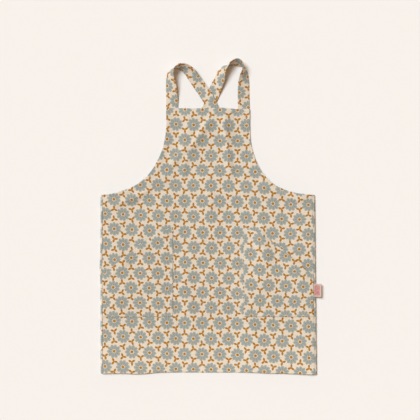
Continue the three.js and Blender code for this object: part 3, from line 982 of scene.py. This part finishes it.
# %% Seams of the back panels, on the outside, which faces down
BACK_LEVEL = 0.26 * MM
back_seams = []
for side, piece, node, lines in (
    (-1, back_left, "back_panel_left", right_lines), (1, back_right, "back_panel_right", left_lines)
):
    low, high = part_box(node)
    tree = tree_of(piece)
    inner_x, outer_x = (low.x, high.x - 5 * MM) if side > 0 else (high.x, low.x + 5 * MM)
    open_x, start_x = inner_x + side * BACK_SIDE_STITCH, inner_x + side * 2 * MM
    top_y, hem_level = high.y - BACK_SIDE_STITCH, low.y + BACK_HEM_STITCH + 1 * MM
    rows = [on_cloth(tree, straight((open_x, hem_level), (open_x, high.y - 2 * MM)), BACK_LEVEL)]
    for y in (hem_level, top_y):
        rows.append(on_cloth(tree, straight((start_x, y), (outer_x, y)), BACK_LEVEL))
    x, y, _ = lines["middle"][-1]
    rows += crossed_box(tree, x - 9 * MM, x + 9 * MM, y + 2 * MM, y + 20 * MM, BACK_LEVEL)
    back_seams.append(sew(piece.name.replace("cloth", "seams"), rows))

# %% Seams of the straps, along both edges and on both faces
strap_seams = []
for piece, lines in ((strap_left, left_lines), (strap_right, right_lines)):
    inside = (lines["places"] > 2 * MM) & (lines["places"] < lines["places"][-1] - 2 * MM)
    rows = []
    for across, face in ((-1, -1), (-1, 1), (1, -1), (1, 1)):
        aside = across * (STRAP_WIDTH / 2 - STRAP_STITCH)
        level = face * 0.345 * STRAP_THICKNESS
        points = lines["middle"] + aside * lines["width"] + level * lines["normal"]
        rows.append((points[inside], face * lines["normal"][inside]))
    strap_seams.append(sew(piece.name.replace("cloth", "seams"), rows))

# %% Seam of the tab
low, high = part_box("side_tab")
tab_line = [(low.x + 1.6 * MM, y) for y in (low.y + 1.5 * MM, high.y - 1.5 * MM)]
rows = [on_cloth(tree_of(tab), straight(*tab_line, 0.5 * MM))]
tab_seam = sew("tab_seam", rows, pitch=2.4 * MM, size=(1.7 * MM, 0.32 * MM, 0.26 * MM))

# %% [markdown]
# ## Materials: small helpers
# A shader is a graph of small nodes. What flows out of a node is wrapped here in a class that
# adds a math node for each plus, minus or times, so that a pattern is written as arithmetic.

# %% Shader helpers
def put(tree, socket, value):
    """Gives a socket a number or colour, or links it to a value."""
    if isinstance(value, Value):
        tree.links.new(value.socket, socket)
    else:
        socket.default_value = value


def add_node(tree, kind, inputs, **settings):
    """A new node with its settings made and its sockets filled, by name or number."""
    node = tree.nodes.new("ShaderNode" + kind)
    for name, setting in settings.items():
        setattr(node, name, setting)
    for key, value in dict(inputs).items():
        put(tree, node.inputs[key], value)
    return node


class Value:
    """What flows out of a node."""

    def __init__(self, node, output=0):
        self.tree, self.socket = node.id_data, node.outputs[output]

    def to(self, operation, *others):
        """The result of a math node that takes this value first."""
        return Value(add_node(self.tree, "Math", enumerate((self, *others)), operation=operation))

    def __add__(self, other):
        return self.to("ADD", other)

    def __sub__(self, other):
        return self.to("SUBTRACT", other)

    def __mul__(self, other):
        return self.to("MULTIPLY", other)

    def wave(self, length):
        """A sine of the given wavelength."""
        return (self * (2 * math.pi / length)).to("SINE")

    def ramp(self, start, end):
        """0 before start, 1 past end and a smooth change between them. Start may be above end."""
        inputs = {"Value": self, "From Min": min(start, end), "From Max": max(start, end)}
        inputs |= {"To Min": float(start > end), "To Max": float(start < end)}
        return Value(add_node(self.tree, "MapRange", inputs, interpolation_type="SMOOTHSTEP"), "Result")


def mix(tree, share, first, second, kind="MIX"):
    """Blends two colours."""
    node = add_node(tree, "Mix", {0: share}, data_type="RGBA", blend_type=kind)
    slots = [socket for socket in node.inputs if socket.type == "RGBA"]
    put(tree, slots[0], first)
    put(tree, slots[1], second)
    return Value(node, [socket.type for socket in node.outputs].index("RGBA"))


def vector(x, y, z=0.0):
    return Value(add_node(x.tree, "CombineXYZ", enumerate((x, y, z))))


def parts_of(place):
    """The x, y and z of a place."""
    node = add_node(place.tree, "SeparateXYZ", {0: place})
    return [Value(node, axis) for axis in range(3)]


def noise_at(place, scale, detail=2.0, size=(1, 1, 1)):
    """Noise from 0 to 1 at a place. Size stretches it along the axes."""
    stretched = add_node(place.tree, "Mapping", {"Scale": tuple(scale / s for s in size), "Vector": place})
    inputs = {"Scale": 1.0, "Detail": detail, "Vector": Value(stretched)}
    return Value(add_node(place.tree, "TexNoise", inputs), "Fac")


def chance_at(x, y):
    """A chance number from 0 to 1 that belongs to a pair of numbers."""
    return Value(add_node(x.tree, "TexWhiteNoise", {"Vector": vector(x, y)}, noise_dimensions="2D"), "Value")


def srgb(*colour):
    """A colour as read from a screen, turned into the linear one that a shader needs."""
    shares = [value / 255 for value in colour]
    return *(s / 12.92 if s <= 0.04045 else ((s + 0.055) / 1.055) ** 2.4 for s in shares), 1.0


print("shader helpers ready")

# %% [markdown]
# ## The print
# The cloth is printed with daisies in rows, each row half a step along from the last, and with
# small three-leaved sprigs in the gaps. A shader finds the nearest motif's centre, measures from
# there, and folds the angle round the centre so that one petal, drawn once, is repeated.

# %% Rows of motifs
MOTIF_STEP = 37 * MM
ROW_STEP = MOTIF_STEP * math.sqrt(3) / 2
PETALS = 10
LEAVES = 3


def motif_cell(x, y, shift_x, shift_y):
    """Distance in mm from the nearest motif's centre, and a chance number of that motif."""
    u = x.to("MULTIPLY_ADD", 1 / MOTIF_STEP, shift_x)
    v = y.to("MULTIPLY_ADD", 1 / ROW_STEP, shift_y)
    found = []
    for step in (0, 1):
        row = v.to("FLOOR") + step
        along = u - row.to("FLOORED_MODULO", 2) * 0.5
        column = along.to("ROUND")
        right, ahead = (along - column) * (MOTIF_STEP / MM), (v - row) * (ROW_STEP / MM)
        found.append((right, ahead, right * right + ahead * ahead, column, row))
    nearer = found[1][2].to("LESS_THAN", found[0][2])
    right, ahead, far, column, row = ((b - a).to("MULTIPLY_ADD", nearer, a) for a, b in zip(*found))
    return right, ahead, far.to("SQRT"), chance_at(column, row)


def folded_angle(right, ahead, chance, repeats):
    """The angle round a motif, folded into one petal's sector, and that sector's number."""
    sector = 2 * math.pi / repeats
    turned = chance.to("MULTIPLY_ADD", 2 * math.pi, ahead.to("ARCTAN2", right))
    number = turned.to("DIVIDE", sector).to("ROUND").to("FLOORED_MODULO", repeats)
    return turned.to("WRAP", sector / 2, -sector / 2), number


def oval(far, angle, centre, half_length, half_width):
    """Below 1 inside an oval that lies along the sector's middle."""
    across = far * angle.to("SINE")
    a = (far * angle.to("COSINE") - centre).to("DIVIDE", half_length)
    b = across.to("DIVIDE", half_width)
    return a * a + b * b, across


print("motif step, mm:", round(MOTIF_STEP / MM, 1), "rows, mm:", round(ROW_STEP / MM, 1))

# %% Print colours
CREAM = srgb(219, 206, 189)
SAGE = srgb(146, 154, 150)
SAGE_DEEP = srgb(106, 114, 109)
MUSTARD = srgb(165, 110, 2)
FLECK = srgb(186, 164, 136)
SHAKE = 1.1 * MM
# The motifs, in mm from their centres: petals, the eye between them and the leaves of a sprig.
PETAL_MIDDLE, PETAL_HALF, PETAL_TIP = 9.1, 5.1, 15.0
EYE = 3.1
LEAF_MIDDLE, LEAF_HALF, LEAF_HALF_WIDTH = 3.9, 3.7, 2.15
THREAD_STEP, PICK_STEP = 0.75 * MM, 0.8 * MM


def print_group():
    """A node group: from places on the flat cut to the printed colour with painted light, and the cloth's
    relief.
    """
    tree = bpy.data.node_groups.new("daisy print", "ShaderNodeTree")
    for name, way, kind in (("Cut", "IN", "Vector"), ("Colour", "OUT", "Color"), ("Relief", "OUT", "Float")):
        tree.interface.new_socket(name, in_out=way + "PUT", socket_type="NodeSocket" + kind)
    place = Value(tree.nodes.new("NodeGroupInput"))
    end = tree.nodes.new("NodeGroupOutput")
    cut_x, cut_y, _ = parts_of(place)
    x = cut_x + (noise_at(place, 190.0) - 0.5) * SHAKE
    y = cut_y + (noise_at(place, 173.0) - 0.5) * SHAKE

    right, ahead, far, chance = motif_cell(x, y, 0.0, 0.0)
    angle, number = folded_angle(right, ahead, chance, PETALS)
    pick = chance_at(number, chance * 97.0)
    petal_form, across = oval(far, angle, PETAL_MIDDLE, pick * 0.5 + PETAL_HALF, far * 0.19 + 1.3)
    petals = petal_form.ramp(1.1, 0.88) * far.ramp(PETAL_TIP, PETAL_TIP - 0.8)
    vein = across.to("ABSOLUTE").ramp(0.55, 0.2) * far.ramp(12.6, 9.5)
    ochre = far.ramp(EYE, EYE - 0.35)
    for shift_x, shift_y in ((0.5, -1 / 3), (0.0, -2 / 3)):
        right, ahead, far, chance = motif_cell(x, y, shift_x, shift_y)
        angle, _ = folded_angle(right, ahead, chance, LEAVES)
        leaf_form, _ = oval(far, angle, LEAF_MIDDLE, LEAF_HALF, LEAF_HALF_WIDTH)
        ochre = ochre.to("MAXIMUM", leaf_form.ramp(1.12, 0.86))

    patchy = noise_at(place, 900.0, 3.0)
    sage = mix(tree, vein * 0.9, SAGE, SAGE_DEEP)
    sage = mix(tree, patchy.ramp(0.35, 0.7), sage, mix(tree, 0.16, sage, CREAM))
    fibres = noise_at(place, 900.0, 1.0, (1, 3.2, 1)).to("MAXIMUM", noise_at(place, 950.0, 1.0, (3.5, 1, 1)))
    ground = mix(tree, fibres.ramp(0.60, 0.78) * 0.72, CREAM, FLECK)
    colour = mix(tree, petals * 0.97, ground, sage)
    worn = patchy.ramp(0.35, 0.75) * -0.07 + 1.0
    colour = mix(tree, ochre * worn, colour, MUSTARD)

    slubs = noise_at(place, 1500.0, 1.0, (26, 1, 1)) + noise_at(place, 1500.0, 1.0, (1, 30, 1))
    shade = (slubs - 1.0) * 0.30 + 1.005
    shade += (noise_at(place, 430.0) - 0.5) * 0.20
    shade += (noise_at(place, 34.0, 3.0) - 0.5) * 0.07
    # Painted light: up to 9 % lighter low down on the cut, towards the hem, standing in for light that falls
    # brighter there.
    shade += cut_y.ramp(-0.19, -0.33) * 0.09
    put(tree, end.inputs[0], mix(tree, 1.0, colour, vector(shade, shade, shade), "MULTIPLY"))
    weave = cut_x.wave(THREAD_STEP) * cut_y.wave(PICK_STEP) * 0.16
    put(tree, end.inputs[1], slubs * 0.8 + weave)
    return tree


daisy_print = print_group()
print("print group:", len(daisy_print.nodes), "nodes")

# %% [markdown]
# ## The finishes
# The printed linen has a right side and a paler wrong side, where the ink only shows through.
# The sewing thread is cream and slightly glossy, and the tab is woven in two soft pinks.

# %% Finishes
def new_finish(name, roughness, sheen=0.0):
    """A material with its shader, whose constant values sit on the shader's own sockets."""
    finish = bpy.data.materials.new(name)
    finish.use_nodes = True
    shader = finish.node_tree.nodes["Principled BSDF"]
    shader.inputs["Roughness"].default_value = roughness
    shader.inputs["Specular IOR Level"].default_value = 0.12
    shader.inputs["Sheen Weight"].default_value = sheen
    shader.inputs["Sheen Roughness"].default_value = 0.6
    return finish, finish.node_tree, shader


def show(shader, colour, relief, depth):
    """Gives a shader its colour and a relief of the given depth."""
    tree = shader.id_data
    bump = add_node(tree, "Bump", {"Strength": 0.6, "Distance": depth, "Height": relief})
    put(tree, shader.inputs["Base Color"], colour)
    put(tree, shader.inputs["Normal"], Value(bump))


def printed_cloth(name, faded):
    """Printed linen. Faded is how much of the print is lost in the ground, from 0 to 1."""
    finish, tree, shader = new_finish(name, 0.92, 0.03)
    cut = Value(add_node(tree, "UVMap", {}, uv_map="cut"))
    group = tree.nodes.new("ShaderNodeGroup")
    group.node_tree = daisy_print
    put(tree, group.inputs[0], cut)
    colour = mix(tree, faded, Value(group, 0), CREAM) if faded else Value(group, 0)
    show(shader, colour, Value(group, 1), 0.12 * MM)
    return finish


def thread_finish():
    finish, tree, shader = new_finish("cream thread", 0.6)
    uneven = noise_at(Value(add_node(tree, "TexCoord", {}), "Object"), 900.0)
    show(shader, mix(tree, uneven, srgb(206, 190, 168), srgb(232, 219, 200)), uneven, 0.05 * MM)
    return finish


def tab_finish():
    """Woven ribbon: a rose band beside pale borders, with ribs across."""
    finish, tree, shader = new_finish("woven tab", 0.7, 0.05)
    cut = Value(add_node(tree, "UVMap", {}, uv_map="cut"))
    along, across, _ = parts_of(cut)
    shorter = along.to("MULTIPLY_ADD", -1.0, tab_length).to("MINIMUM", along)
    from_side = across.to("MULTIPLY_ADD", -1.0, tab_width).to("MINIMUM", across)
    band = shorter.ramp(0.6 * MM, 1.0 * MM) * shorter.ramp(12.4 * MM, 11.8 * MM)
    band *= from_side.ramp(3.2 * MM, 3.8 * MM)
    lines = shorter.wave(2.3 * MM).ramp(-0.5, 0.5) * 0.36 + 0.22
    band *= noise_at(cut, 270.0, 1.0).ramp(0.40, 0.62) * 0.45 + lines
    uneven = noise_at(cut, 1300.0, 2.0, (8, 1, 1))
    pale = mix(tree, uneven, srgb(207, 184, 174), srgb(194, 169, 159))
    rose = mix(tree, uneven, srgb(196, 103, 110), srgb(180, 91, 98))
    show(shader, mix(tree, band, pale, rose), across.wave(0.6 * MM) * 0.3 + uneven, 0.06 * MM)
    return finish


right_side = printed_cloth("printed linen", 0.0)
wrong_side = printed_cloth("printed linen, wrong side", 0.72)
thread = thread_finish()
woven = tab_finish()
print("finishes:", [finish.name for finish in (right_side, wrong_side, thread, woven)])

# %% Dress the pieces
panels = (front, back_left, back_right, pocket_left, pocket_right)
straps = (strap_left, strap_right)
seams = (front_seams, *pocket_seams, *back_seams, *strap_seams, tab_seam)
for piece in panels:
    piece.data.materials[RIGHT_SIDE] = right_side
    piece.data.materials[WRONG_SIDE] = wrong_side
for piece in straps:
    piece.data.materials[RIGHT_SIDE] = piece.data.materials[WRONG_SIDE] = right_side
tab.data.materials[RIGHT_SIDE] = tab.data.materials[WRONG_SIDE] = woven
for seam in seams:
    seam.data.materials.clear()
    seam.data.materials.append(thread)
for piece in (*seams, *panels, *straps):
    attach(piece, "root")
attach(tab, "root")
print("dressed:", len(panels) + len(straps) + len(seams) + 1, "pieces")

# %% [markdown]
# ## Sizes of the cuts
# The sizes that the front and the pockets were cut to, and their areas, are worked out and printed.

# %% Sheets
def area_under(values, places):
    """Area between a line of values and the axis along which they are placed."""
    return float(abs(np.sum(0.5 * (values[1:] + values[:-1]) * np.diff(places))))


front_area = area_under(right_edge - left_edge, row_heights)
front_flat = (float(right_edge[0] - left_edge[0]), float(bib_top - hem_middle))
print("front cut, mm:", [round(v / MM) for v in front_flat], "area:", round(front_area, 4))
for piece, seam, patch in zip((pocket_left, pocket_right), pocket_seams, (left_patch, right_patch)):
    wide = float(abs(patch["x"][0, -1] - patch["x"][0, 0]))
    tall = float(patch["y"].max() - patch["y"].min())
    area = area_under(patch["y"][-1] - patch["y"][0], patch["x"][0])
    print("pocket cut, mm:", round(wide / MM), round(tall / MM), "area:", round(area, 4))

# %% [markdown]
# ## Floor and light
# The table is a warm off-white, and so large that a low view still ends on it. One large soft
# light from the upper left, modelled as a sun with a wide disc so that the table stays even,
# throws the shadows of the loops, and the room fills them with a warmer, weaker light. Just
# above the table the room is pale, so that its far edge doesn't show.

# %% Floor
FLOOR_SIDE = 400
bpy.context.scene.view_settings.view_transform = "Standard"
deselect_all()
bpy.ops.mesh.primitive_plane_add(size=FLOOR_SIDE)
floor = bpy.context.object
floor.name = "floor"
table_finish, table_tree, table_shader = new_finish("warm white table", 0.85)
grain = noise_at(Value(add_node(table_tree, "TexCoord", {}), "Object"), 40.0)
table_colour = mix(table_tree, grain, srgb(238, 235, 233), srgb(239, 236, 234))
put(table_tree, table_shader.inputs["Base Color"], table_colour)
floor.data.materials.append(table_finish)
print("floor:", FLOOR_SIDE, "m")

# %% Light
PALE_WALL = (0.94, 0.88, 0.83, 1)
WARM_ROOM = (0.345, 0.228, 0.125, 1)
SUN_DOWN = Vector((0.45, -0.42, -1.0))

world = bpy.data.worlds.new("room")
bpy.context.scene.world = world
world.use_nodes = True
room_tree = world.node_tree
room = room_tree.nodes["Background"]
room.inputs["Strength"].default_value = 1.0
looking_up = parts_of(Value(add_node(room_tree, "TexCoord", {}), "Generated"))[2]
room_colour = mix(room_tree, looking_up.ramp(0.17, 0.24), PALE_WALL, WARM_ROOM)
put(room_tree, room.inputs["Color"], room_colour)

sun_data = bpy.data.lights.new("window", "SUN")
sun_data.energy = 3.18
sun_data.angle = math.radians(27)
sun_data.color = (0.841, 0.932, 1.0)
sun = bpy.data.objects.new("window", sun_data)
bpy.context.scene.collection.objects.link(sun)
sun.rotation_euler = SUN_DOWN.to_track_quat("-Z", "Y").to_euler()
print("sun:", sun_data.energy, "from", [round(math.degrees(turn)) for turn in sun.rotation_euler])
